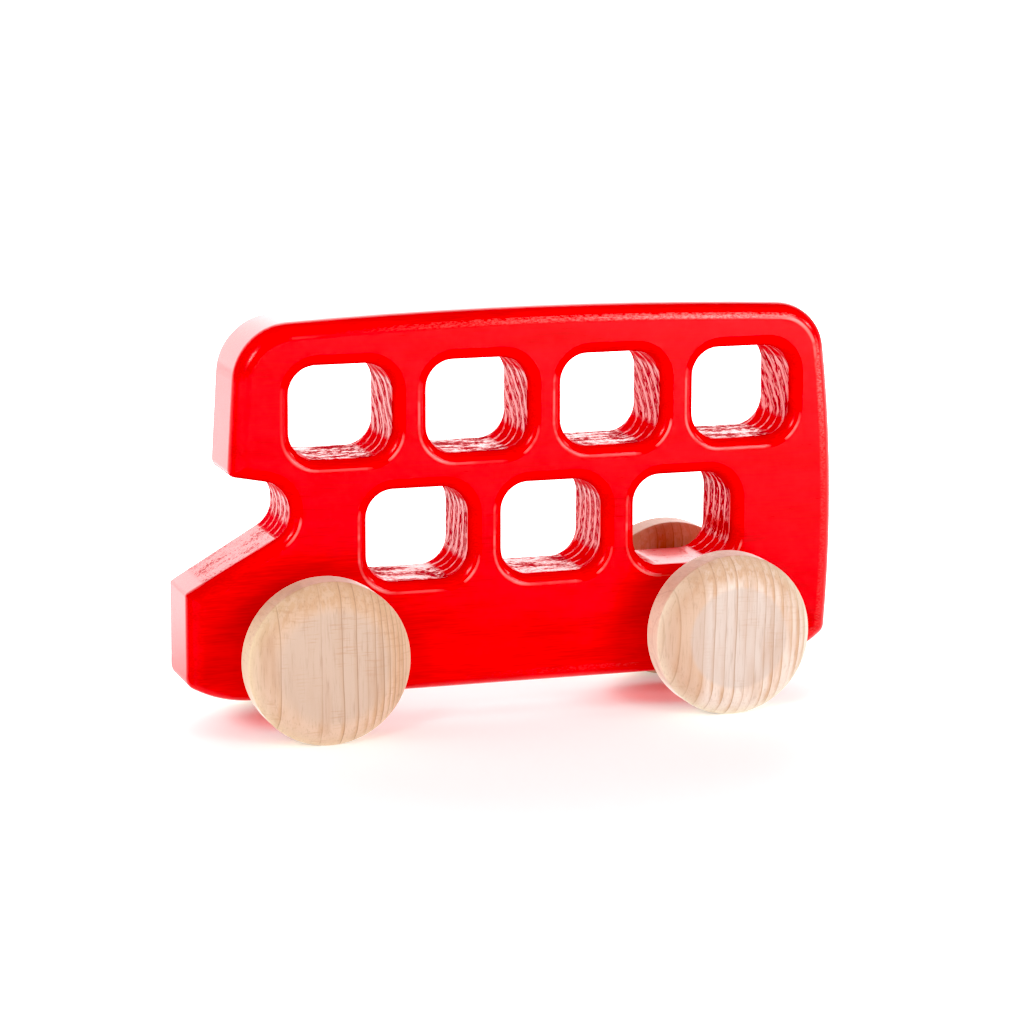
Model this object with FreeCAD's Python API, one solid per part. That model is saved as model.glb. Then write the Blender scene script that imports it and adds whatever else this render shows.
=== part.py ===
import FreeCAD, Part
import math
import os

# Wooden double-decker toy bus: a body cut from one thick plank, with an open half cab,
# rolling on two dowel axles that each carry two turned wheels.
# Millimetres. x runs from the nose to the rear, y from the left side to the right, z up.
# The origin is on the floor, under the middle of the length and of the thickness.

# Wheels and axles
wheel_diameter = 40.0
wheel_width = 15.0
wheel_tread_width = 7.0
wheel_flat_diameter = 25.0
wheel_edge_radius = 1.0
wheel_gap = 3.0
nose_to_front_axle = 31.0
tail_to_rear_axle = 32.4
axle_rise = 12.0
axle_diameter = 8.0
axle_seat_depth = 9.0
axle_end_chamfer = 0.8
axle_running_clearance = 0.08
wheel_bore_clearance = 0.03
glue_pocket = 0.5

# Body plank
body_length = 166.2
body_height = 93.4
body_thickness = 23.4
outline_round = 4.0
cab_round = 2.9
window_round = 2.9

# Roof, windscreen and rear wall
roof_bow_radius = 1250.0
roof_crown_setback = 87.4
rear_bow_radius = 350.0
rear_bow_height = 37.0
windscreen_rake_degrees = 3.5
front_top_radius = 14.5
rear_top_radius = 13.0

# Ends of the underside, which sweep up to the nose and to the rear wall
nose_sweep_length = 16.4
nose_sweep_radius = 30.0
nose_low_radius = 3.0
rear_sweep_length = 21.5
rear_sweep_radius = 30.0
rear_low_radius = 3.0

# Bonnet and open cab
nose_height = 27.3
nose_top_radius = 1.2
bonnet_slope_degrees = 29.5
cab_depth = 25.5
cab_back_height = 11.0
cab_low_radius = 7.0
cab_top_radius = 7.2
cab_roof_fall_degrees = 9.6
lip_setback = 10.65
lip_radius = 2.0

# Windows: two rows of one rounded opening, which fill the body between these posts and bars
window_corner_radius = 6.8
window_bar_width = 8.6
deck_bar_height = 8.3
roof_bar_height = 12.1
sill_height = 27.4
front_post_width = 25.55
rear_post_width = 12.05
cab_post_width = 19.15
upper_window_count = 4
lower_window_count = 3

# How far cutters run past what they cut, and how far a test point lies inside a rim
cut_overrun = 1.0
rim_probe = 0.05

# Places that follow
half_thickness = body_thickness / 2
axle_z = wheel_diameter / 2
underside_z = axle_z - axle_rise
front_x = -body_length / 2
rear_x = body_length / 2
front_axle_x = front_x + nose_to_front_axle
rear_axle_x = rear_x - tail_to_rear_axle
crown_z = underside_z + body_height
nose_top_z = underside_z + nose_height
cab_back_x = front_x + cab_depth
lip_x = front_x + lip_setback
cab_floor_z = nose_top_z + math.tan(math.radians(bonnet_slope_degrees)) * cab_depth
cab_roof_z = cab_floor_z + cab_back_height
lip_z = cab_roof_z + math.tan(math.radians(cab_roof_fall_degrees)) * (cab_back_x - lip_x)
wheel_inner_y = half_thickness + wheel_gap
upper_bars_width = (upper_window_count - 1) * window_bar_width
upper_row_width = body_length - front_post_width - rear_post_width
window_width = (upper_row_width - upper_bars_width) / upper_window_count
window_height = (body_height - roof_bar_height - deck_bar_height - sill_height) / 2
window_pitch = window_width + window_bar_width
upper_row_x = front_x + front_post_width + window_width / 2
lower_row_x = cab_back_x + cab_post_width + window_width / 2
lower_row_z = underside_z + sill_height + window_height / 2
upper_row_z = lower_row_z + window_height + deck_bar_height
across = FreeCAD.Vector(0, 1, 0)


def on_face(x, z):
    # a point of the plank's left face
    return FreeCAD.Vector(x, -half_thickness, z)


def line(start, end):
    return Part.LineSegment(start, end).toShape()


def arc(centre, radius, start, end):
    # the shorter arc about the centre
    middle = (start - centre) + (end - centre)
    middle.normalize()
    return Part.Arc(start, centre + middle * radius, end).toShape()


def ray_meets_circle(start, direction, centre, radius):
    # where a ray from inside a circle leaves it
    offset = start - centre
    along = offset.dot(direction)
    reach = math.sqrt(along ** 2 - offset.dot(offset) + radius ** 2)
    return start + direction * (reach - along)


def circles_meet(centre_a, radius_a, centre_b, radius_b):
    # of the two crossings, the one towards the rear and the floor
    gap = centre_b - centre_a
    span = gap.Length
    gap.normalize()
    along = (span ** 2 + radius_a ** 2 - radius_b ** 2) / (2 * span)
    aside = math.sqrt(radius_a ** 2 - along ** 2)
    return centre_a + gap * along + across.cross(gap) * aside


def arc_between(centre_a, radius_a, centre_b, radius_b, radius):
    # the rounded corner inside two circles: its centre, and where it leaves each of them
    centre = circles_meet(centre_a, radius_a - radius, centre_b, radius_b - radius)
    from_a = centre - centre_a
    from_b = centre - centre_b
    from_a.normalize()
    from_b.normalize()
    return centre, centre_a + from_a * radius_a, centre_b + from_b * radius_b


def plank_face():
    # the outline, clockwise from the foot of the nose, and the corners that are still sharp
    nose_sweep = on_face(front_x + nose_sweep_length, underside_z + nose_sweep_radius)
    rear_sweep = on_face(rear_x - rear_sweep_length, underside_z + rear_sweep_radius)
    roof_bow = on_face(front_x + roof_crown_setback, crown_z - roof_bow_radius)
    rear_bow = on_face(rear_x - rear_bow_radius, underside_z + rear_bow_height)
    rake = math.radians(windscreen_rake_degrees)

    nose_sweep_rise = nose_sweep_radius - math.sqrt(nose_sweep_radius ** 2 - nose_sweep_length ** 2)
    nose_foot = on_face(front_x, underside_z + nose_sweep_rise)
    nose_top = on_face(front_x, nose_top_z)
    cab_low = on_face(cab_back_x, cab_floor_z)
    cab_top = on_face(cab_back_x, cab_roof_z)
    lip = on_face(lip_x, lip_z)
    windscreen = FreeCAD.Vector(math.sin(rake), 0, math.cos(rake))
    front_top = ray_meets_circle(lip, windscreen, roof_bow, roof_bow_radius)
    rear_top, roof_end, wall_top = arc_between(
        roof_bow, roof_bow_radius, rear_bow, rear_bow_radius, rear_top_radius)
    rear_low, wall_foot, sweep_end = arc_between(
        rear_bow, rear_bow_radius, rear_sweep, rear_sweep_radius, rear_low_radius)
    belly_rear = on_face(rear_sweep.x, underside_z)
    belly_front = on_face(nose_sweep.x, underside_z)

    edges = [
        line(nose_foot, nose_top),
        line(nose_top, cab_low),
        line(cab_low, cab_top),
        line(cab_top, lip),
        line(lip, front_top),
        arc(roof_bow, roof_bow_radius, front_top, roof_end),
        arc(rear_top, rear_top_radius, roof_end, wall_top),
        arc(rear_bow, rear_bow_radius, wall_top, wall_foot),
        arc(rear_low, rear_low_radius, wall_foot, sweep_end),
        arc(rear_sweep, rear_sweep_radius, sweep_end, belly_rear),
        line(belly_rear, belly_front),
        arc(nose_sweep, nose_sweep_radius, belly_front, nose_foot),
    ]
    corners = [
        (nose_foot, nose_low_radius),
        (nose_top, nose_top_radius),
        (cab_low, cab_low_radius),
        (cab_top, cab_top_radius),
        (lip, lip_radius),
        (front_top, front_top_radius),
    ]
    return Part.Face(Part.Wire(edges)), corners


def round_corner(solid, corner, radius):
    # rounds the one edge that crosses the plank at this corner
    middle = corner + across * half_thickness
    nearest = min(solid.Edges, key=lambda edge: (edge.CenterOfMass - middle).Length)
    return solid.makeFillet(radius, [nearest])


def left_face(solid):
    return min(solid.Faces, key=lambda face: face.CenterOfMass.y)


def waste_profile(rim_point, inward, radius, reach):
    # what a round-over takes off at one place of a rim, out to the reach inside it
    depth = radius - math.sqrt(max(radius ** 2 - (radius - reach) ** 2, 0))
    turn = math.acos((radius - reach) / radius) / 2
    bow_in = radius - radius * math.cos(turn)
    bow_deep = radius - radius * math.sin(turn)

    def place(inside, deep):
        return rim_point + inward * inside + across * deep

    outer = place(-cut_overrun, -cut_overrun)
    above = place(reach, -cut_overrun)
    top = place(reach, depth)
    side = place(0, radius)
    beside = place(-cut_overrun, radius)
    edges = [line(outer, above), line(above, top)]
    edges.append(Part.Arc(top, place(bow_in, bow_deep), side).toShape())
    edges += [line(side, beside), line(beside, outer)]
    return Part.Wire(edges)


def edge_cutter(face, edge, material_inside, radius_start, radius_end):
    # the waste along one rim edge of a face, straight or a circular arc
    first, last = edge.ParameterRange
    start = edge.valueAt(first)
    end = edge.valueAt(last)
    middle = edge.valueAt((first + last) / 2)
    curved = isinstance(edge.Curve, Part.Circle)
    if curved:
        inward = edge.Curve.Center - middle
    else:
        inward = (end - start).cross(across)
    inward.normalize()
    towards_face = face.isInside(middle + inward * rim_probe, rim_probe / 10, True)
    side = 1 if towards_face == material_inside else -1
    if not curved:
        from_start = waste_profile(start, inward * side, radius_start, radius_start)
        if radius_start == radius_end:
            return Part.Face(from_start).extrude(end - start)
        from_end = waste_profile(end, inward * side, radius_end, radius_end)
        return Part.makeLoft([from_start, from_end], True, True)
    # inside a tight outer corner the waste ends at the corner's own centre
    reach = min(radius_start, edge.Curve.Radius) if side > 0 else radius_start
    inward_at_start = edge.Curve.Center - start
    inward_at_start.normalize()
    profile = waste_profile(start, inward_at_start * side, radius_start, reach)
    return Part.Face(profile).revolve(edge.Curve.Center, edge.Curve.Axis, math.degrees(last - first))


def outline_radii(edge):
    # the round-over along the plank's outline, which thins from the outer corners into the cab
    first, last = edge.ParameterRange
    start = edge.valueAt(first)
    end = edge.valueAt(last)
    middle = edge.valueAt((first + last) / 2)
    if not (nose_top_z < middle.z < lip_z and middle.x < cab_back_x + rim_probe):
        return outline_round, outline_round
    upright = abs(end.x - start.x) < rim_probe
    if upright or isinstance(edge.Curve, Part.Circle):
        return cab_round, cab_round
    if start.x < end.x:
        return outline_round, cab_round
    return cab_round, outline_round


def window_radii(edge):
    return window_round, window_round


def both_sides(cutters):
    # the same cutters for the plank's left face and, mirrored, for its right face
    return cutters + [cutter.mirror(FreeCAD.Vector(0, 0, 0), across) for cutter in cutters]


def rim_cutters(face, radii, material_inside):
    cutters = []
    for edge in face.OuterWire.Edges:
        radius_start, radius_end = radii(edge)
        cutters.append(edge_cutter(face, edge, material_inside, radius_start, radius_end))
    return both_sides(cutters)


def window_tools():
    # one rounded opening with its flared rims, as solids centred on the origin
    corner = FreeCAD.Vector(-window_width / 2, -half_thickness, -window_height / 2)
    block = Part.makeBox(window_width, body_thickness, window_height, corner)
    uprights = [edge for edge in block.Edges if abs(edge.tangentAt(edge.FirstParameter).y) > rim_probe]
    opening = block.makeFillet(window_corner_radius, uprights)
    return [opening] + rim_cutters(left_face(opening), window_radii, False)


def window_centres():
    rows = [
        (upper_window_count, upper_row_x, upper_row_z),
        (lower_window_count, lower_row_x, lower_row_z),
    ]
    centres = []
    for count, first_x, row_z in rows:
        for number in range(count):
            centres.append(FreeCAD.Vector(first_x + number * window_pitch, 0, row_z))
    return centres


def make_body():
    face, corners = plank_face()
    plank = face.extrude(across * body_thickness)
    for corner, radius in corners:
        plank = round_corner(plank, corner, radius)
    plank = plank.cut(rim_cutters(left_face(plank), outline_radii, True))
    tools = window_tools()
    for centre in window_centres():
        plank = plank.cut([tool.translated(centre) for tool in tools])
    bore_radius = axle_diameter / 2 + axle_running_clearance
    for axle_x in (front_axle_x, rear_axle_x):
        mouth = FreeCAD.Vector(axle_x, -half_thickness - cut_overrun, axle_z)
        plank = plank.cut(Part.makeCylinder(bore_radius, body_thickness + 2 * cut_overrun, mouth, across))
    return plank.removeSplitter()


def make_axle(axle_x):
    # a plain dowel that ends inside both wheels
    half_length = wheel_inner_y + axle_seat_depth
    end = FreeCAD.Vector(axle_x, -half_length, axle_z)
    dowel = Part.makeCylinder(axle_diameter / 2, 2 * half_length, end, across)
    rims = [edge for edge in dowel.Edges if isinstance(edge.Curve, Part.Circle)]
    return dowel.makeChamfer(axle_end_chamfer, rims)


def make_wheel(axle_x, side):
    # turned wheel: a flat disc, shoulders that fall to the tread, and a blind bore on the inner side
    half_width = wheel_width / 2
    tread = wheel_diameter / 2
    flat = wheel_flat_diameter / 2
    half_tread = wheel_tread_width / 2
    fall = half_width - half_tread
    shoulder_radius = ((tread - flat) ** 2 + fall ** 2) / (2 * fall)

    def place(radius, width):
        return FreeCAD.Vector(radius, width, 0)

    def shoulder(sign):
        centre = place(flat, sign * (half_width - shoulder_radius))
        start = place(flat, sign * half_width)
        return arc(centre, shoulder_radius, start, place(tread, sign * half_tread))

    edges = [
        line(place(0, half_width), place(flat, half_width)),
        shoulder(1),
        line(place(tread, half_tread), place(tread, -half_tread)),
        shoulder(-1),
        line(place(flat, -half_width), place(0, -half_width)),
        line(place(0, -half_width), place(0, half_width)),
    ]
    profile = Part.Face(Part.Wire(Part.__sortEdges__(edges)))
    wheel = profile.revolve(FreeCAD.Vector(0, 0, 0), across, 360)
    rims = [edge for edge in wheel.Edges if is_tread_rim(edge, tread, half_tread)]
    wheel = wheel.makeFillet(wheel_edge_radius, rims)
    bore_depth = axle_seat_depth + glue_pocket
    bore_radius = axle_diameter / 2 + wheel_bore_clearance
    mouth = FreeCAD.Vector(0, -side * (half_width + cut_overrun), 0)
    bore = Part.makeCylinder(bore_radius, bore_depth + cut_overrun, mouth, across * side)
    wheel = wheel.cut(bore)
    return wheel.translated(FreeCAD.Vector(axle_x, side * (wheel_inner_y + half_width), axle_z))


def is_tread_rim(edge, radius, offset):
    # true for the two circles where the shoulders meet the tread
    if not isinstance(edge.Curve, Part.Circle):
        return False
    centre = edge.Curve.Center
    return abs(edge.Curve.Radius - radius) < rim_probe and abs(abs(centre.y) - offset) < rim_probe


parts = {"body": make_body()}
for name, place_x in (("front", front_axle_x), ("rear", rear_axle_x)):
    parts[name + "_axle"] = make_axle(place_x)
    parts[name + "_left_wheel"] = make_wheel(place_x, -1)
    parts[name + "_right_wheel"] = make_wheel(place_x, 1)

os.makedirs("parts", exist_ok=True)
for node, shape in parts.items():
    shape.exportStep("parts/" + node + ".step")
    print(node, "valid:", shape.isValid(), "solids:", len(shape.Solids), "volume:", shape.Volume)
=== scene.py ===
import math
import bmesh
import bpy
from mathutils import Matrix, Vector


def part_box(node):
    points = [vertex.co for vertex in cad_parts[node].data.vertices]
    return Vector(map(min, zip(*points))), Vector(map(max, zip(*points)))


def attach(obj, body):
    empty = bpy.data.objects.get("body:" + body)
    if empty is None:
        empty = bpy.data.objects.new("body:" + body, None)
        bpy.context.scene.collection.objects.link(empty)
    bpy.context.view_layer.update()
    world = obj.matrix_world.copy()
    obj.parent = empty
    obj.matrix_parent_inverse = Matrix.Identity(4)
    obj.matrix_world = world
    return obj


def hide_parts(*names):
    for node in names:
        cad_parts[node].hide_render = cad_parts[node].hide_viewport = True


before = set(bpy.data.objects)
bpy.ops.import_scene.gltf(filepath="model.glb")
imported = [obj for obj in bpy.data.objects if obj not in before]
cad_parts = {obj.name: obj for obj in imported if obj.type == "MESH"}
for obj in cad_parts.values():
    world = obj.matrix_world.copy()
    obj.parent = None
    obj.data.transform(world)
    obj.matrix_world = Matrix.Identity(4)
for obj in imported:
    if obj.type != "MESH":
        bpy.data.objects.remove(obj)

bpy.context.view_layer.update()
print("frame loaded:", ", ".join(sorted(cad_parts)))


# Camera, fitted to the photograph
cameraFit = {
    "place": (-0.27409, -0.84616, 0.22245),
    "azimuth": 18.06,  # degrees to the right of straight ahead
    "fall": 11.04,  # degrees below the horizon
    "roll": 0.16,
    "focal": 3663.84,  # in pixels of the square frame
    "frame": 1025,
    "sensor": 36.0,
}


def makeCamera(fit):
    azimuth, fall, roll = (math.radians(fit[name]) for name in ("azimuth", "fall", "roll"))
    ahead = Vector((
        math.sin(azimuth) * math.cos(fall), math.cos(azimuth) * math.cos(fall), -math.sin(fall)))
    level = Vector((math.cos(azimuth), -math.sin(azimuth), 0))
    lift = level.cross(ahead)
    right = level * math.cos(roll) + lift * math.sin(roll)
    up = lift * math.cos(roll) - level * math.sin(roll)
    data = bpy.data.cameras.new("photoCamera")
    data.sensor_width = fit["sensor"]
    data.lens = fit["focal"] * fit["sensor"] / fit["frame"]
    camera = bpy.data.objects.new("photoCamera", data)
    bpy.context.scene.collection.objects.link(camera)
    turn = Matrix((right, up, -ahead)).transposed().to_4x4()
    camera.matrix_world = Matrix.Translation(fit["place"]) @ turn
    bpy.context.scene.camera = camera


makeCamera(cameraFit)
print("camera placed")


class Wiring:
    # adds nodes to one tree, twelve to a row, and joins them as it goes
    def __init__(self, tree):
        self.tree = tree
        self.step = 0

    def add(self, kind, sockets=None, **settings):
        node = self.tree.nodes.new(kind)
        node.location = (200 * (self.step % 12), -320 * (self.step // 12))
        self.step += 1
        for name, value in settings.items():
            setattr(node, name, value)
        for name, value in (sockets or {}).items():
            self.feed(node.inputs[name], value)
        return node

    def feed(self, socket, value):
        if isinstance(value, bpy.types.NodeSocket):
            self.tree.links.new(value, socket)
        else:
            socket.default_value = value

    def math(self, operation, first, second=0.0):
        return self.add("ShaderNodeMath", {0: first, 1: second}, operation=operation).outputs[0]

    def plus(self, first, *others):
        for other in others:
            first = self.math("ADD", first, other)
        return first

    def minus(self, first, second):
        return self.math("SUBTRACT", first, second)

    def times(self, first, *others):
        for other in others:
            first = self.math("MULTIPLY", first, other)
        return first

    def most(self, first, second):
        return self.math("MAXIMUM", first, second)

    def without(self, share):
        return self.minus(1.0, share)

    def between(self, share, first, second):
        return self.plus(first, self.times(share, self.minus(second, first)))

    def squares(self, first, second):
        return self.plus(self.math("POWER", first, 2.0), self.math("POWER", second, 2.0))

    def length(self, first, second):
        return self.math("SQRT", self.squares(first, second))

    def ramp(self, value, low, high, start=0.0, end=1.0, soft=True):
        kind = "SMOOTHSTEP" if soft else "LINEAR"
        sockets = {"Value": value, "From Min": low, "From Max": high, "To Min": start, "To Max": end}
        return self.add("ShaderNodeMapRange", sockets, interpolation_type=kind).outputs["Result"]

    def within(self, value, rise, fall):
        return self.times(self.ramp(value, *rise), self.ramp(value, *fall))

    def mix(self, share, first, second):
        node = self.add("ShaderNodeMix", data_type="RGBA")
        for socket, value in zip((0, 6, 7), (share, first, second)):
            self.feed(node.inputs[socket], value)
        return node.outputs[2]

    def noise(self, vector, scale, detail=3.0, roughness=0.5):
        sockets = {"Vector": vector, "Scale": scale, "Detail": detail, "Roughness": roughness}
        return self.add("ShaderNodeTexNoise", sockets).outputs["Fac"]

    def stretch(self, vector, scale=(1, 1, 1), turn=(0, 0, 0), shift=(0, 0, 0)):
        sockets = {"Vector": vector, "Scale": scale, "Rotation": turn, "Location": shift}
        return self.add("ShaderNodeMapping", sockets).outputs["Vector"]

    def figure(self, vector, grain, shift=(0, 0, 0)):
        # noise from a pattern's (stretch, detail, roughness)
        scale, detail, roughness = grain
        return self.noise(self.stretch(vector, scale, shift=shift), 1.0, detail, roughness)

    def split(self, vector):
        return self.add("ShaderNodeSeparateXYZ", {"Vector": vector}).outputs


def colour(red, green, blue):
    return (red, green, blue, 1.0)


def newMaterial(name):
    material = bpy.data.materials.new(name)
    material.use_nodes = True
    material.node_tree.nodes.clear()
    return material, Wiring(material.node_tree)


def finishMaterial(wires, sockets, relief, strength, depth):
    # the bump, the shader with its constants on its own sockets, and the output
    bump = wires.add("ShaderNodeBump", {"Height": relief, "Strength": strength, "Distance": depth})
    shader = wires.add("ShaderNodeBsdfPrincipled", sockets)
    wires.feed(shader.inputs["Normal"], bump.outputs["Normal"])
    wires.add("ShaderNodeOutputMaterial", {"Surface": shader.outputs["BSDF"]})


# Where the plank was routed. Pairs are the values of a place, or of how far the surface faces that
# way, between which a mask rises from 0 to 1, and longer rows say from which share to which
routing = {
    "top": (0.0925, 0.0905),
    "bottom": (0.0275, 0.0295),
    "rear": (0.0745, 0.0735),
    "inside": (0.62, 0.40),  # facing the side no more than this
    "noseFacing": (-0.80, -0.92),
    "noseReach": (-0.0660, -0.0700),
    "wallFacing": (0.86, 0.98),
    "sillFacing": (0.925, 0.985),
    "bonnetReach": (-0.0560, -0.0580),
    "bonnetTilt": 0.12,  # the bonnet slopes, and still counts as a sill
    "lastWindow": (0.020, 0.032),
    "lowerRow": (0.062, 0.055),
    "tip": (-0.0775, -0.0795),
    "rim": ((0.08, 0.18), (0.80, 0.55)),  # the round-over, from its start in the cut
    "rimStart": ((0.002, 0.03), (0.12, 0.07)),
    "windowsX": ((-0.0780, -0.0770), (0.0785, 0.0765)),
    "windowsZ": ((0.022, 0.024), (0.0975, 0.0955)),
    "deckFront": ((-0.0620, -0.0660), (0.060, 0.062)),
}


def routedZones(wires, place, facing, look):
    sideways = wires.math("ABSOLUTE", facing["Y"])
    routed = wires.times(
        wires.ramp(sideways, *look["inside"]), wires.ramp(place["Z"], *look["top"]),
        wires.ramp(place["Z"], *look["bottom"]), wires.ramp(place["X"], *look["rear"]))
    noseFace = wires.times(
        wires.ramp(facing["X"], *look["noseFacing"]), wires.ramp(place["X"], *look["noseReach"]))
    bonnet = wires.ramp(place["X"], *look["bonnetReach"])
    upward = wires.plus(wires.math("ABSOLUTE", facing["Z"]), wires.times(bonnet, look["bonnetTilt"]))
    deckX, deckZ = look["deckFront"]
    deckFront = wires.times(wires.ramp(place["X"], *deckX), wires.ramp(place["Z"], *deckZ))
    return {
        "sideways": sideways,
        "routed": wires.times(routed, wires.without(noseFace)),
        "wall": wires.ramp(wires.math("ABSOLUTE", facing["X"]), *look["wallFacing"]),
        "sill": wires.ramp(upward, *look["sillFacing"]),
        "bonnet": bonnet,
        "lastWindow": wires.times(
            wires.ramp(place["X"], *look["lastWindow"]), wires.ramp(place["Z"], *look["lowerRow"])),
        "tip": wires.ramp(place["X"], *look["tip"]),
        "rim": wires.within(sideways, *look["rim"]),
        "rimStart": wires.within(sideways, *look["rimStart"]),
        "windowRim": wires.times(
            wires.within(place["X"], *look["windowsX"]), wires.within(place["Z"], *look["windowsZ"]),
            wires.without(deckFront)),
    }


# Marks that the cutter left: shiny lines along the growth rings on the walls, flecks on the sills
cutterMarks = {
    "pith": (0.030, 0.050),  # y and z of the rings' middle, beside the plank
    "ringSpacing": 0.0038,
    "ringSway": 0.0034,
    "swayGrain": ((14, 85, 85), 3.0, 0.5),
    "wallLine": ((0.62, 0.80), (1.0, 0.92)),  # where in a ring its hard line rises and falls
    "cornerLine": ((0.70, 0.84), (1.0, 0.94)),
    "streakScale": (1900.0, 16.0, 330.0),  # out from the pith, about it, and along the plank
    "streakGrain": (4.0, 0.62),
    "fleckGrain": ((800, 1300, 1300), 4.0, 0.66),
    "bonnetGrain": ((1500, 2200, 1500), 3.0, 0.6),
    "patchGrain": ((110, 260, 120), 2.0, 0.5),
    "patchDepth": (0.8, 0.45),  # on the sills, and on the bonnet
    "lineShine": 0.26,
    "wallShine": (0.43, 0.64),
    "sillShine": (0.42, 0.58, 0.0, 0.90),
    "cornerShine": (0.40, 0.60, 0.0, 0.75),
    "startShine": (0.30, 0.50),
    "lastWindowWall": 0.03,  # the last window's wall shines less, and its sill more
    "lastWindowSill": 0.17,
    "rowShine": (0.055, 0.062, 0.02, -0.025),
    "bonnetShine": 0.078,
}


def shineOfCuts(wires, centre, place, zones, look):
    # how much of each cut is smooth and shines
    sway = wires.times(wires.figure(centre, look["swayGrain"]), look["ringSway"])
    across = wires.minus(place["Y"], look["pith"][0])
    above = wires.minus(place["Z"], look["pith"][1])
    radius = wires.plus(wires.length(across, above), sway)
    angle = wires.math("ARCTAN2", above, across)
    ring = wires.math("FRACT", wires.math("DIVIDE", radius, look["ringSpacing"]))
    out, about, along = look["streakScale"]
    curved = wires.add("ShaderNodeCombineXYZ", {
        "X": wires.times(radius, out), "Y": wires.times(angle, about), "Z": wires.times(place["X"], along),
    })
    streaks = wires.noise(curved.outputs["Vector"], 1.0, *look["streakGrain"])
    flecks = wires.between(zones["bonnet"], wires.figure(centre, look["fleckGrain"]),
                           wires.figure(centre, look["bonnetGrain"]))
    patches = wires.minus(wires.figure(centre, look["patchGrain"]), 0.5)

    onWall = wires.plus(streaks, wires.times(wires.within(ring, *look["wallLine"]), look["lineShine"]))
    onWall = wires.minus(onWall, wires.times(zones["lastWindow"], look["lastWindowWall"]))
    onWall = wires.ramp(onWall, *look["wallShine"])
    onSill = wires.plus(
        flecks, wires.times(patches, wires.ramp(zones["bonnet"], 0.0, 1.0, *look["patchDepth"])),
        wires.ramp(place["Z"], *look["rowShine"]), wires.times(zones["lastWindow"], look["lastWindowSill"]),
        wires.times(zones["bonnet"], look["bonnetShine"]))
    onSill = wires.ramp(onSill, *look["sillShine"])
    inCorner = wires.times(
        wires.within(ring, *look["cornerLine"]), wires.ramp(streaks, *look["cornerShine"]))
    shine = wires.between(zones["sill"], wires.between(zones["wall"], inCorner, onWall), onSill)
    shine = wires.most(shine, wires.times(zones["rimStart"], wires.ramp(flecks, *look["startShine"])))
    return wires.most(shine, zones["tip"])


# Painted highlights, pale stain laid where highlights fall: a speckled band along the roof's edge, and a
# line where the cutter's shoulder ran round the windows
highlightsAndBlunting = {
    "lowerLeft": (0.60, 1.30),  # how far round a window's edge the line shows
    "lowerLeftLean": 0.9,
    "lowerRight": (1.04, 1.13, 0.0, 1.1),
    "lowerRightLean": 0.6,
    "creaseFacing": ((0.955, 0.978), (0.9978, 0.991)),
    "creaseReach": (-0.0610, -0.0560),
    "brokenGrain": ((120, 400, 260), 2.0, 0.5),
    "broken": (0.34, 0.56, 0.25, 1.0),
    "creaseHighlight": 0.52,
    "bandFacing": ((0.86, 0.94), (0.9990, 0.990)),
    "bandAlong": (-0.062, 0.076),
    "bandUp": (0.050, 0.098, 0.15, 1.0),
    "speckleGrain": ((1100, 2600, 2600), 3.0, 0.7),
    "speckle": (0.36, 0.66),
    "bandHighlight": 0.60,
    "bluntFacing": ((0.30, 0.60), (0.9992, 0.9900)),
    "blunt": (0.0, 0.3, 0.85, 0.0),
}
roundSafe = 1.0001  # just over 1, so that no root is taken of less than nothing


def paintedHighlightsAndBlunting(wires, centre, place, facing, zones, look):
    # painted highlights on the roof's edge and the windows' crease, and how blunt the windows' round-overs
    # are away from the painted line
    sideways, windowRim = zones["sideways"], zones["windowRim"]
    tilt = wires.math("SQRT", wires.minus(roundSafe, wires.math("POWER", sideways, 2.0)))
    towardsX = wires.math("DIVIDE", facing["X"], tilt)
    towardsZ = wires.math("DIVIDE", facing["Z"], tilt)
    lowerLeft = wires.ramp(
        wires.plus(towardsX, wires.times(towardsZ, look["lowerLeftLean"])), *look["lowerLeft"])
    lowerRight = wires.ramp(
        wires.minus(wires.times(towardsZ, look["lowerRightLean"]), towardsX), *look["lowerRight"])
    lobes = wires.most(lowerLeft, lowerRight)
    blunt = wires.times(
        wires.within(sideways, *look["bluntFacing"]), windowRim, wires.ramp(lobes, *look["blunt"]))
    band = wires.times(
        wires.within(sideways, *look["bandFacing"]), wires.ramp(place["X"], *look["bandAlong"]),
        wires.ramp(place["Z"], *look["bandUp"]), wires.without(windowRim),
        wires.ramp(wires.figure(centre, look["speckleGrain"]), *look["speckle"]), look["bandHighlight"])
    crease = wires.times(
        wires.within(sideways, *look["creaseFacing"]), lobes,
        wires.ramp(place["X"], *look["creaseReach"]), windowRim,
        wires.ramp(wires.figure(centre, look["brokenGrain"]), *look["broken"]), look["creaseHighlight"])
    return wires.most(band, crease), blunt


# Red stain and lacquer on the plank, whose grain runs along X
stain = {
    "deep": colour(0.60, 0.0, 0.002),
    "bright": colour(0.80, 0.001, 0.006),
    "torn": colour(0.46, 0.001, 0.012),  # stain soaked into the cutter's torn fibres
    "soaked": colour(0.70, 0.008, 0.018),  # and into the windows' corners
    # painted highlight: the pale colour laid on the roof's edge band and the windows' crease lines
    "highlightColour": colour(0.84, 0.30, 0.27),
    "fibreGrain": ((160, 2600, 2600), 4.0, 0.62),
    "mottleGrain": ((28, 90, 120), 3.0, 0.55),
    "mottleShare": 0.55,
    "fibreShare": 0.45,
    "shade": (0.32, 0.62),
    "grit": 0.12,
    "roughness": (0.30, 0.65),  # smooth, and torn
    "index": 1.36,
    "gloss": (0.20, 0.015),
    "coat": (0.50, 0.55),  # outside, and in the cuts
    "coatRoughness": 0.11,
    "coatIndex": 1.32,
    "rimGloss": (1.0, 0.45),
    "rimFacing": (-0.15, -0.35),
    "startCoat": 0.8,
    "relief": (0.30, 0.55),
    "tornDepth": 0.8,
    "bumpStrength": 0.5,
    "bumpDepth": 0.00010,
}


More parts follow.
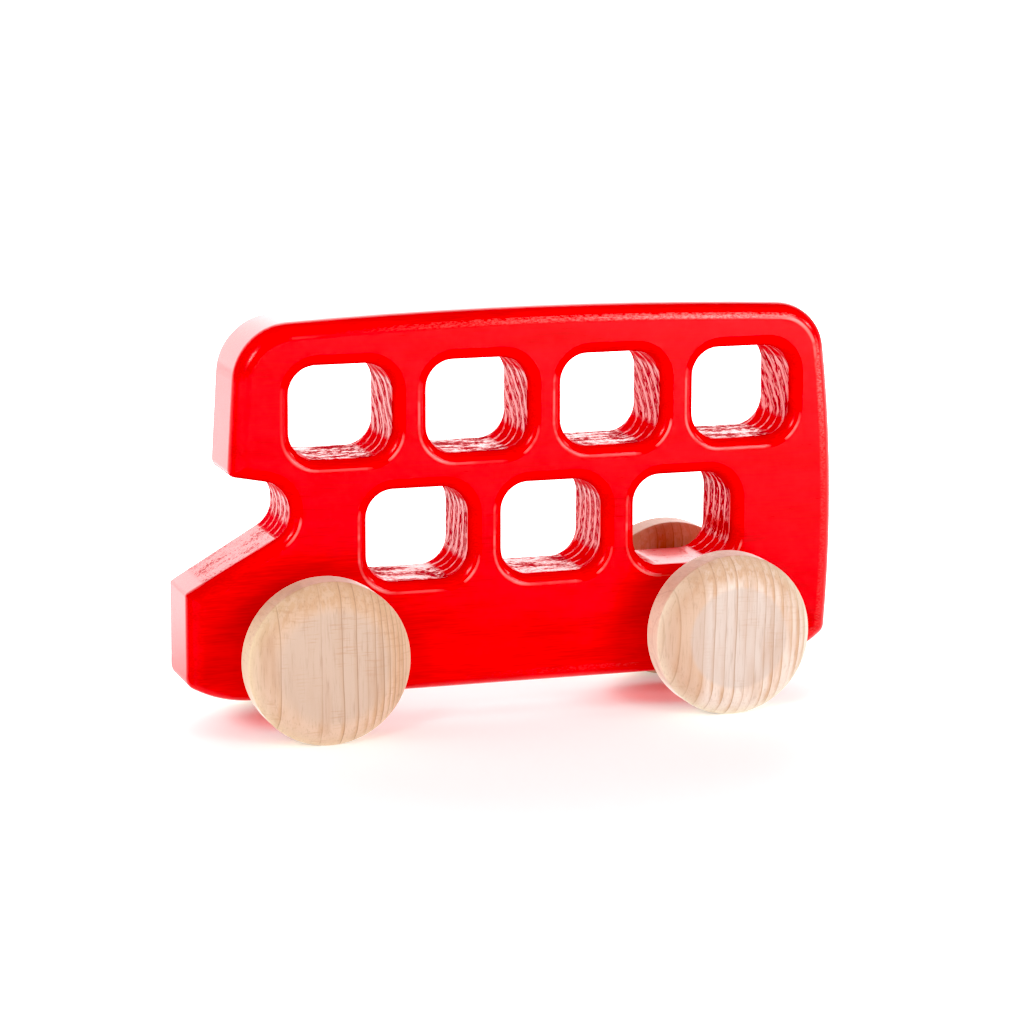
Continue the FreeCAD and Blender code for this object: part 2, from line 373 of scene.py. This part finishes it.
def makeStainedBeech(look):
    material, wires = newMaterial("redStainedBeech")
    coordinates = wires.add("ShaderNodeTexCoord")
    centre = coordinates.outputs["Object"]
    place = wires.split(centre)
    facing = wires.split(coordinates.outputs["Normal"])
    zones = routedZones(wires, place, facing, routing)
    routed = zones["routed"]
    torn = wires.times(routed, wires.without(shineOfCuts(wires, centre, place, zones, cutterMarks)))
    highlightShare, blunt = paintedHighlightsAndBlunting(wires, centre, place, facing, zones, highlightsAndBlunting)

    fibres = wires.figure(centre, look["fibreGrain"])
    mottle = wires.figure(centre, look["mottleGrain"])
    shade = wires.plus(
        wires.times(mottle, look["mottleShare"]), wires.times(fibres, look["fibreShare"]))
    base = wires.mix(wires.ramp(shade, *look["shade"]), look["deep"], look["bright"])
    soaked = wires.mix(wires.most(zones["wall"], zones["sill"]), look["soaked"], look["torn"])
    base = wires.mix(torn, base, soaked)
    # the painted highlights, laid over the stain
    base = wires.mix(highlightShare, base, look["highlightColour"])

    grit = wires.times(wires.minus(fibres, 0.5), look["grit"])
    cutFace = wires.most(routed, wires.ramp(facing["X"], *look["rimFacing"]))
    dull = wires.ramp(wires.times(zones["rim"], cutFace), 0.0, 1.0, *look["rimGloss"])
    sharp = wires.without(blunt)
    gloss = wires.times(wires.ramp(torn, 0.0, 1.0, *look["gloss"]), dull, sharp)
    coat = wires.times(wires.ramp(routed, 0.0, 1.0, *look["coat"]), wires.without(torn), dull)
    coat = wires.times(wires.most(coat, wires.times(zones["rimStart"], look["startCoat"])), sharp)
    relief = wires.times(fibres, wires.ramp(routed, 0.0, 1.0, *look["relief"]))
    relief = wires.minus(relief, wires.times(torn, look["tornDepth"]))
    finishMaterial(wires, {
        "Base Color": base,
        "Roughness": wires.plus(grit, wires.ramp(torn, 0.0, 1.0, *look["roughness"])),
        "IOR": look["index"],
        "Specular IOR Level": gloss,
        "Coat Weight": coat,
        "Coat Roughness": look["coatRoughness"],
        "Coat IOR": look["coatIndex"],
    }, relief, look["bumpStrength"], look["bumpDepth"])
    return material


# Bare beech of the wheels and dowels, whose grain runs along Z
beech = {
    "stained": colour(0.44, 0.235, 0.13),
    "line": colour(0.30, 0.16, 0.09),
    "swayGrain": ((90, 90, 24), 3.0, 0.5),
    "vigour": (0.35, 1.0),  # how faint and how strong a year's ring may be
    "lateWood": (0.0016, 0.0),  # distance before a ring's end over which its darker wood rises
    "lineWidth": (0.00034, 0.000136),
    "lateShare": 0.32,
    "mottleShare": 0.80,
    "tone": (0.34, 0.68),
    "heartEdge": (0.0020, -0.0010),
    "heartShare": 0.75,
    "discRadius": 0.0125,
    "discEdge": 0.0006,
    "discShare": 0.60,
    # upward end grain darkens fully, downward only a little: the difference is painted shade
    "endGrainAndTopShade": ((0.02, 0.40), (-0.45, -0.95, 0.0, 0.35)),  # facing up, and facing down
    # painted rim light: radii and facings over which the rim and tread are laid paler, less where they face
    # up
    "paintedRimLight": (0.0168, 0.0196, 0.0, 0.32),  # radii between which the rim's wood turns paler
    "rimLightPaler": (1.19, 1.32, 1.17),
    "treadFacing": (0.75, 0.45, 0.0, 0.65),
    "treadReach": (0.018, 0.019),
    "treadLine": 0.25,
    "rimLightTopFade": (0.80, 0.25, 0.15, 1.0),
    "fibreGrain": ((2600, 2600, 170), 4.0, 0.6),
    "mottleGrain": ((240, 240, 40), 4.0, 0.6),
    "bandGrain": ((170, 170, 22), 2.0, 0.5),
    "bandShift": 3,
    "rayGrain": ((170, 240, 2100), 2.0, 0.55),
    "patchGrain": ((150, 150, 70), 1.0, 0.5),
    "poreGrain": ((900, 900, 110), 4.0, 0.6),
    "bands": (0.54, 0.72, 0.0, 0.45),
    "fibreLines": (0.50, 0.76, 0.0, 0.34),
    "rayMarks": (0.54, 0.66),
    "rayPatches": (0.42, 0.58),
    "pores": (0.40, 0.62),
    "poreShare": (0.55, 1.0),
    "roughness": 0.58,
    "grit": 0.15,
    "index": 1.33,
    "sheen": 0.8,
    "sheenRoughness": 0.30,
    "lineDepth": 0.4,
    "bumpStrength": 0.30,
    "bumpDepth": 0.00008,
}


def growthRings(wires, grain, look, wood):
    # depth through the rings, which close up as it grows, and each ring's late wood and end line
    sway = wires.figure(grain, look["swayGrain"], shift=(wood["seed"], 0, 0))
    slant = math.radians(wood["slant"])
    place = wires.split(grain)
    depth = wires.plus(
        wires.times(place["X"], math.cos(slant)), wires.times(place["Y"], math.sin(slant)),
        wires.times(wires.minus(sway, 0.5), wood["sway"]))
    closing = wires.math("EXPONENT", wires.times(depth, wood["closing"]))
    rings = wires.plus(wires.times(closing, 1 / (wood["closing"] * wood["spacing"])), wood["seed"])
    left = wires.math("DIVIDE", wires.without(wires.math("FRACT", rings)), closing)
    left = wires.times(left, wood["spacing"])
    year = wires.add("ShaderNodeTexWhiteNoise", {"W": wires.math("FLOOR", rings)}, noise_dimensions="1D")
    vigour = wires.ramp(year.outputs["Value"], 0.0, 1.0, *look["vigour"])
    lateWood = wires.times(wires.ramp(left, *look["lateWood"]), vigour)
    ringLine = wires.times(wires.ramp(left, *look["lineWidth"]), vigour)
    return depth, lateWood, ringLine


def makeBeech(name, look, centre, wood):
    material, wires = newMaterial(name)
    coordinates = wires.add("ShaderNodeTexCoord")
    pale, tan, disc = (colour(*wood[tone]) for tone in ("pale", "tan", "disc"))
    # painted rim light: the pale wood made paler still
    paintedRimLight = colour(*(channel * paler for channel, paler in zip(wood["pale"], look["rimLightPaler"])))
    centred = wires.stretch(coordinates.outputs["Object"], shift=[-value for value in centre])
    grain = wires.stretch(centred, turn=(0, math.radians(wood["lean"]), 0))
    spread = wires.split(centred)
    fromAxis = wires.length(spread["X"], spread["Z"])
    facing = wires.split(coordinates.outputs["Normal"])
    depth, lateWood, ringLine = growthRings(wires, grain, look, wood)
    fibres = wires.figure(grain, look["fibreGrain"])
    mottle = wires.figure(grain, look["mottleGrain"])
    bands = wires.figure(grain, look["bandGrain"], shift=(wood["seed"], look["bandShift"], 0))

    # the wood itself, its darker heart and the flat disc that the lathe left paler
    tone = wires.plus(wires.times(lateWood, look["lateShare"]), wires.times(mottle, look["mottleShare"]))
    base = wires.mix(wires.ramp(tone, *look["tone"]), pale, tan)
    heartEdge = [wood["heart"] + edge for edge in look["heartEdge"]]
    base = wires.mix(wires.ramp(depth, *heartEdge, 0.0, look["heartShare"]), base, tan)
    inDisc = wires.ramp(fromAxis, look["discRadius"] + wood["fade"], look["discRadius"] - look["discEdge"])
    base = wires.mix(wires.times(inDisc, look["discShare"]), base, disc)

    # end grain soaks up more, and its upper side is darkened far more than its lower as painted shade; the
    # rim and tread are painted paler as painted rim light
    facingUp, facingDown = look["endGrainAndTopShade"]
    # end grain darkening, much stronger facing up as painted shade
    endGrainAndTopShade = wires.most(wires.ramp(facing["Z"], *facingUp), wires.ramp(facing["Z"], *facingDown))
    pores = wires.ramp(wires.figure(grain, look["poreGrain"]), *look["pores"])
    endGrainAndTopShade = wires.times(endGrainAndTopShade, wires.ramp(pores, 0.0, 1.0, *look["poreShare"]))
    base = wires.mix(endGrainAndTopShade, base, tan)
    # painted rim light on the tread and rim, faded where they face up
    tread = wires.times(wires.ramp(wires.math("ABSOLUTE", facing["Y"]), *look["treadFacing"]),
                        wires.ramp(fromAxis, *look["treadReach"]))
    rimLightShare = wires.times(wires.plus(wires.ramp(fromAxis, *look["paintedRimLight"]), tread),
                          wires.ramp(facing["Z"], *look["rimLightTopFade"]))
    base = wires.mix(rimLightShare, base, paintedRimLight)

    # bands, ring lines, fibres and rays over it all
    base = wires.mix(wires.ramp(bands, *look["bands"]), base, look["stained"])
    inked = wires.ramp(tread, 0.0, 0.5, wood["inked"], look["treadLine"])
    base = wires.mix(wires.times(ringLine, inked), base, look["line"])
    base = wires.mix(wires.ramp(fibres, *look["fibreLines"]), base, look["line"])
    rays = wires.times(wires.ramp(wires.figure(grain, look["rayGrain"]), *look["rayMarks"]),
                       wires.ramp(wires.figure(grain, look["patchGrain"]), *look["rayPatches"]))
    base = wires.mix(wires.times(rays, wood["rays"]), base, look["stained"])
    grit = wires.times(wires.minus(fibres, 0.5), look["grit"])
    relief = wires.minus(fibres, wires.times(ringLine, look["lineDepth"]))
    finishMaterial(wires, {
        "Base Color": base,
        "Roughness": wires.plus(grit, look["roughness"]),
        "IOR": look["index"],
        "Sheen Weight": look["sheen"],
        "Sheen Roughness": look["sheenRoughness"],
    }, relief, look["bumpStrength"], look["bumpDepth"])
    return material


# Turned wheel, as a profile swept about its own axis
wheelSizes = {
    "Diameter": 0.040,
    "Width": 0.015,
    "Tread Width": 0.007,
    "Flat Diameter": 0.025,
    "Edge Radius": 0.001,
    "Bore Diameter": 0.00806,
    "Bore Depth": 0.0095,
    "Bore Chamfer": 0.0003,
}
turning = {
    "segments": 192,
    "discPoints": 8,
    "shoulderPoints": 24,
    "edgePoints": 8,
    "treadPoints": 6,
    "chamferPoints": 2,
    "borePoints": 4,
    "boreFloorPoints": 2,
    "weld": 0.000002,  # distance under which two points are one
    "sharpAngle": 30,  # degrees
}


def makeWheelTree(sizes, look):
    tree = bpy.data.node_groups.new("turnedWheel", "GeometryNodeTree")
    for name in sizes:
        tree.interface.new_socket(name, in_out="INPUT", socket_type="NodeSocketFloat")
    for name, kind in (("Centre", "Vector"), ("Turn", "Vector"), ("Segments", "Int"), ("Wood", "Material")):
        tree.interface.new_socket(name, in_out="INPUT", socket_type="NodeSocket" + kind)
    tree.interface.new_socket("Wheel", in_out="OUTPUT", socket_type="NodeSocketGeometry")
    wires = Wiring(tree)
    given = wires.add("NodeGroupInput").outputs

    def place(radius, height):
        return wires.add("ShaderNodeCombineXYZ", {"X": radius, "Y": height}).outputs[0]

    def straight(start, end, points):
        line = wires.add("GeometryNodeCurvePrimitiveLine", {"Start": start, "End": end}).outputs[0]
        return wires.add("GeometryNodeResampleCurve", {"Curve": line, "Count": points}).outputs[0]

    def bend(centre, radius, start, sweep, points):
        sockets = {"Resolution": points, "Radius": radius, "Start Angle": start, "Sweep Angle": sweep}
        arc = wires.add("GeometryNodeCurveArc", sockets, mode="RADIUS").outputs[0]
        return wires.add("GeometryNodeTransform", {"Geometry": arc, "Translation": centre}).outputs[0]

    def joined(pieces):
        node = wires.add("GeometryNodeJoinGeometry")
        for piece in pieces:
            tree.links.new(piece, node.inputs[0])
        return node.outputs[0]

    # the shoulder's arc leaves the flat disc level and meets the edge's arc
    half = wires.times(given["Width"], 0.5)
    tread = wires.times(given["Diameter"], 0.5)
    flat = wires.times(given["Flat Diameter"], 0.5)
    edge = given["Edge Radius"]
    fall = wires.minus(half, wires.times(given["Tread Width"], 0.5))
    reach = wires.minus(tread, flat)
    shoulder = wires.math("DIVIDE", wires.squares(reach, fall), wires.times(fall, 2.0))
    shoulderHeight = wires.minus(half, shoulder)
    edgeOut = wires.minus(reach, edge)
    edgeArm = wires.minus(shoulder, edge)
    rise = wires.math("SQRT", wires.minus(
        wires.math("POWER", edgeArm, 2.0), wires.math("POWER", edgeOut, 2.0)))
    edgeTurn = wires.math("ARCTAN2", rise, edgeOut)
    edgeCentre = wires.minus(tread, edge)
    edgeHeight = wires.plus(shoulderHeight, rise)
    quarter = math.pi / 2
    sweep = wires.minus(edgeTurn, quarter)
    back = wires.times(edgeTurn, -1.0)

    def face(start):
        # one face, out to the tread
        return [
            straight(start, place(flat, half), look["discPoints"]),
            bend(place(flat, shoulderHeight), shoulder, quarter, sweep, look["shoulderPoints"]),
            bend(place(edgeCentre, edgeHeight), edge, edgeTurn, back, look["edgePoints"]),
        ]

    bore = wires.times(given["Bore Diameter"], 0.5)
    mouth = place(wires.plus(bore, given["Bore Chamfer"]), half)
    throat = place(bore, wires.minus(half, given["Bore Chamfer"]))
    floorHeight = wires.minus(half, given["Bore Depth"])
    inner = face(mouth) + [
        straight(mouth, throat, look["chamferPoints"]),
        straight(throat, place(bore, floorHeight), look["borePoints"]),
        straight(place(bore, floorHeight), place(0.0, floorHeight), look["boreFloorPoints"]),
    ]
    treadEnd = place(tread, wires.times(edgeHeight, -1.0))
    treadLine = straight(place(tread, edgeHeight), treadEnd, look["treadPoints"])
    mirrored = wires.add("GeometryNodeTransform", {"Geometry": joined(inner), "Scale": (1, -1, 1)})
    profile = joined(face(place(0.0, half)) + [treadLine, mirrored.outputs[0]])

    # a swept profile's Y points down the axis, so the whole outline is turned over
    inward = wires.add("ShaderNodeCombineXYZ", {"X": wires.times(tread, -1.0)})
    drawn = wires.add("GeometryNodeTransform", {
        "Geometry": profile, "Translation": inward.outputs[0], "Scale": (1, -1, 1)})
    ringPath = wires.add("GeometryNodeCurvePrimitiveCircle", {
        "Resolution": given["Segments"], "Radius": tread})
    swept = wires.add("GeometryNodeCurveToMesh", {
        "Curve": ringPath.outputs[0], "Profile Curve": drawn.outputs[0]})
    closed = wires.add("GeometryNodeMergeByDistance", {
        "Geometry": swept.outputs[0], "Distance": look["weld"]})
    placed = wires.add("GeometryNodeTransform", {
        "Geometry": closed.outputs[0], "Translation": given["Centre"], "Rotation": given["Turn"]})
    smooth = wires.add("GeometryNodeSetShadeSmooth", {"Geometry": placed.outputs[0]})
    real = wires.add("GeometryNodeRealizeInstances", {"Geometry": smooth.outputs[0]})
    painted = wires.add("GeometryNodeSetMaterial", {"Geometry": real.outputs[0], "Material": given["Wood"]})
    wires.add("NodeGroupOutput", {"Wheel": painted.outputs[0]})
    return tree


def grow(name, tree, values):
    # runs a tree on an empty mesh and keeps the plain mesh that it makes
    scratch = bpy.data.objects.new(name + "Tree", bpy.data.meshes.new(name + "Tree"))
    bpy.context.scene.collection.objects.link(scratch)
    modifier = scratch.modifiers.new("grow", "NODES")
    modifier.node_group = tree
    for socket in tree.interface.items_tree:
        if socket.in_out == "INPUT":
            modifier[socket.identifier] = values[socket.name]
    grown = scratch.evaluated_get(bpy.context.evaluated_depsgraph_get())
    mesh = bpy.data.meshes.new_from_object(grown)
    mesh.name = name
    bpy.data.objects.remove(scratch)
    piece = bpy.data.objects.new(name, mesh)
    bpy.context.scene.collection.objects.link(piece)
    return piece


def outwards(mesh, look):
    # the closed mesh's normals point out, and its edges are sharp where it turns hard
    shell = bmesh.new()
    shell.from_mesh(mesh)
    bmesh.ops.remove_doubles(shell, verts=shell.verts, dist=look["weld"])
    bmesh.ops.recalc_face_normals(shell, faces=shell.faces)
    shell.to_mesh(mesh)
    shell.free()
    mesh.set_sharp_from_angle(angle=math.radians(look["sharpAngle"]))


# Each wheel's wood. Slant and lean turn its rings and its grain, in degrees, its rings close up, and
# heart is how far across them the darker heartwood starts
wheelWoods = {
    "front_left_wheel": {
        "pale": (0.655, 0.46, 0.344), "tan": (0.562, 0.342, 0.211), "disc": (0.497, 0.372, 0.301),
        "fade": 0.0040, "heart": -0.030, "rays": 0.30, "inked": 0.56,
        "slant": 3.0, "lean": 0.5, "spacing": 0.0049, "closing": 92.0, "sway": 0.0016, "seed": 0.35,
    },
    "rear_left_wheel": {
        "pale": (0.716, 0.592, 0.516), "tan": (0.563, 0.355, 0.234), "disc": (0.544, 0.449, 0.401),
        "fade": 0.0008, "heart": -0.0105, "rays": 0.14, "inked": 0.42,
        "slant": 15.0, "lean": -1.5, "spacing": 0.0025, "closing": 9.0, "sway": 0.0012, "seed": 7.6,
    },
    "front_right_wheel": {
        "pale": (0.583, 0.43, 0.334), "tan": (0.497, 0.315, 0.201), "disc": (0.449, 0.353, 0.296),
        "fade": 0.0015, "heart": -0.030, "rays": 0.25, "inked": 0.50,
        "slant": -34.0, "lean": 7.0, "spacing": 0.0028, "closing": 35.0, "sway": 0.0014, "seed": 13.1,
    },
    "rear_right_wheel": {
        "pale": (0.573, 0.401, 0.296), "tan": (0.497, 0.296, 0.181), "disc": (0.439, 0.344, 0.277),
        "fade": 0.0015, "heart": -0.014, "rays": 0.20, "inked": 0.50,
        "slant": 12.0, "lean": -12.0, "spacing": 0.0024, "closing": -25.0, "sway": 0.0014, "seed": 21.8,
    },
}
dowelWood = {
    "pale": (0.668, 0.482, 0.358), "tan": (0.573, 0.358, 0.22), "disc": (0.616, 0.468, 0.382),
    "fade": 0.0010, "heart": -0.030, "rays": 0.25, "inked": 0.50,
    "slant": 30.0, "lean": 0.0, "spacing": 0.0016, "closing": 5.0, "sway": 0.0010, "seed": 31.4,
}


def makeWheels():
    tree = makeWheelTree(wheelSizes, turning)
    for node, wood in wheelWoods.items():
        low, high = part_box(node)
        centre = (low + high) / 2
        facing = 1 if centre.y < 0 else -1
        material = makeBeech(node + "_wood", beech, centre, wood)
        values = dict(wheelSizes, Centre=tuple(centre), Turn=(facing * math.pi / 2, 0, 0),
                      Segments=turning["segments"], Wood=material)
        name = node.replace("_wheel", "_turned_wheel")
        wheel = grow(name, tree, values)
        outwards(wheel.data, turning)
        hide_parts(node)
        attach(wheel, "front_wheelset" if node.startswith("front") else "rear_wheelset")
        print("wheel made:", name, len(wheel.data.polygons), "faces")


def paintNode(node, material):
    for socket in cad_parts[node].material_slots:
        socket.material = material


makeWheels()
paintNode("body", makeStainedBeech(stain))
for node in ("front_axle", "rear_axle"):
    low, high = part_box(node)
    paintNode(node, makeBeech(node + "_wood", beech, (low + high) / 2, dowelWood))
print("woods painted")


# Studio: a pale floor that glows white behind the bus and far all round, glows weakly in front, and glows
# red beside the wheels as painted bounce light from the plank;
# a dim surround with a bright backdrop, and soft boxes, three in front and one low behind. Pairs are where
# a glow starts and where it is full
white = colour(1, 1, 1)
studio = {
    "floorSize": 3.0,
    "floorSides": 48,
    "floor": colour(0.90, 0.90, 0.905),
    "floorPaler": colour(0.93, 0.93, 0.93),
    "floorPatches": (3.0, 2.0),  # scale and detail
    "floorRoughness": 0.75,
    "floorIndex": 1.3,
    "floorTooth": 900.0,
    "bumpStrength": 0.05,
    "bumpDepth": 0.0001,
    "floorGlow": 1.2,
    "behind": (0.01, 0.14),  # y
    "allRound": (0.75, 1.20),  # distance from the bus, so that no horizon shows
    "inFront": (-0.030, -0.080, 0.22, 0.15),  # y, and how the weak glow under the bus falls off
    # painted bounce light: the floor glows red in two patches beside the wheels, standing in for the
    # plank's red light
    "bounces": ((-0.055, 0.004), (0.042, 0.000)),  # x and y of the plank's red light by the wheels
    "bounceReach": (0.017, 0.016),
    "bounceFade": (1.0, 0.1),
    # the painted bounce light's red
    "bounce": colour(0.85, 0.02, 0.03),
    "ambient": 0.36,
    "backdrop": 2.8,
    "backdropTowards": (0.05, 0.95, 0.25),
    "backdropEdge": (0.74, 0.88),  # cosines
    "besideGlow": 0.62,
    "besideTowards": (-0.93, -0.05, 0.33),
    "besideEdge": (0.35, 0.90),
    "seenWhite": 1.1,  # what the camera sees of the surround
    "aim": (0, 0, 0.05),
}


def makeFloor(look):
    mesh = bpy.data.meshes.new("floor")
    half, steps = look["floorSize"], look["floorSides"]
    rim = [(half * math.cos(2 * math.pi * n / steps), half * math.sin(2 * math.pi * n / steps), 0.0)
           for n in range(steps)]
    mesh.from_pydata(rim, [], [list(range(steps))])
    floor = bpy.data.objects.new("floor", mesh)
    bpy.context.scene.collection.objects.link(floor)
    material, wires = newMaterial("paleFloor")
    centre = wires.add("ShaderNodeTexCoord").outputs["Object"]
    place = wires.split(centre)
    glow = wires.ramp(place["Y"], *look["behind"], 0.0, look["floorGlow"])
    glow = wires.most(glow, wires.ramp(place["Y"], *look["inFront"]))
    away = wires.length(place["X"], place["Y"])
    glow = wires.most(glow, wires.ramp(away, *look["allRound"], 0.0, look["floorGlow"]))
    # painted red bounce light glowing in the floor by the wheels
    bounce = 0.0
    for x, y in look["bounces"]:
        across, along = (wires.math("DIVIDE", wires.minus(place[axis], middle), reach)
                         for axis, middle, reach in zip("XY", (x, y), look["bounceReach"]))
        bounce = wires.most(bounce, wires.ramp(wires.squares(across, along), *look["bounceFade"]))
    patches = wires.noise(centre, *look["floorPatches"])
    finishMaterial(wires, {
        "Base Color": wires.mix(patches, look["floor"], look["floorPaler"]),
        "Roughness": look["floorRoughness"],
        "IOR": look["floorIndex"],
        "Emission Color": wires.mix(bounce, white, look["bounce"]),
        "Emission Strength": glow,
    }, wires.noise(centre, look["floorTooth"]), look["bumpStrength"], look["bumpDepth"])
    mesh.materials.append(material)


def makeSurround(look):
    world = bpy.data.worlds.new("studio")
    world.use_nodes = True
    world.node_tree.nodes.clear()
    wires = Wiring(world.node_tree)
    direction = wires.add("ShaderNodeTexCoord").outputs["Generated"]

    def glowTowards(place, edge, low, high):
        towards = Vector(place).normalized()
        facing = wires.add("ShaderNodeVectorMath", {0: direction, 1: towards}, operation="DOT_PRODUCT")
        return wires.ramp(facing.outputs["Value"], *edge, low, high)

    glow = wires.plus(
        glowTowards(look["backdropTowards"], look["backdropEdge"], look["ambient"], look["backdrop"]),
        glowTowards(look["besideTowards"], look["besideEdge"], 0.0, look["besideGlow"]))
    seen = wires.add("ShaderNodeLightPath").outputs["Is Camera Ray"]
    strength = wires.ramp(seen, 0.0, 1.0, glow, look["seenWhite"], soft=False)
    light = wires.add("ShaderNodeBackground", {"Color": white, "Strength": strength})
    wires.add("ShaderNodeOutputWorld", {"Surface": light.outputs[0]})
    bpy.context.scene.world = world


softBoxes = {
    "keyRight": {
        "towards": (0.52, -0.82, 0.26), "distance": 0.95, "size": (0.34, 0.30), "power": 3.5,
        "mirrored": True,
    },
    "fillLeft": {
        "towards": (-0.56, -0.72, 0.40), "distance": 1.00, "size": (0.20, 0.20), "power": 2.3,
        "mirrored": True,
    },
    "sparkRight": {
        "towards": (0.85, -0.41, 0.35), "distance": 0.90, "size": (0.11, 0.11), "power": 0.8,
        "mirrored": True,
    },
    "lowBehind": {
        "towards": (0.42, 0.87, 0.24), "distance": 0.90, "size": (0.30, 0.12), "power": 2.8,
        "mirrored": False,
    },
}


def makeSoftBox(name, look, aim):
    data = bpy.data.lights.new(name, "AREA")
    data.shape = "RECTANGLE"
    data.size, data.size_y = look["size"]
    data.energy = look["power"]
    light = bpy.data.objects.new(name, data)
    bpy.context.scene.collection.objects.link(light)
    towards = Vector(look["towards"]).normalized()
    turn = towards.to_track_quat("Z", "Y").to_matrix().to_4x4()
    light.matrix_world = Matrix.Translation(Vector(aim) + towards * look["distance"]) @ turn
    light.visible_camera = False
    light.visible_glossy = look["mirrored"]


makeFloor(studio)
makeSurround(studio)
for name, look in softBoxes.items():
    makeSoftBox(name, look, studio["aim"])

levels = {"black": 0.025, "white": 0.90}
shown = bpy.context.scene.view_settings
shown.view_transform = "Standard"
shown.use_curve_mapping = True
shown.curve_mapping.black_level = [levels["black"]] * 3
shown.curve_mapping.white_level = [levels["white"]] * 3
shown.curve_mapping.update()
print("studio lit")

bpy.context.view_layer.update()
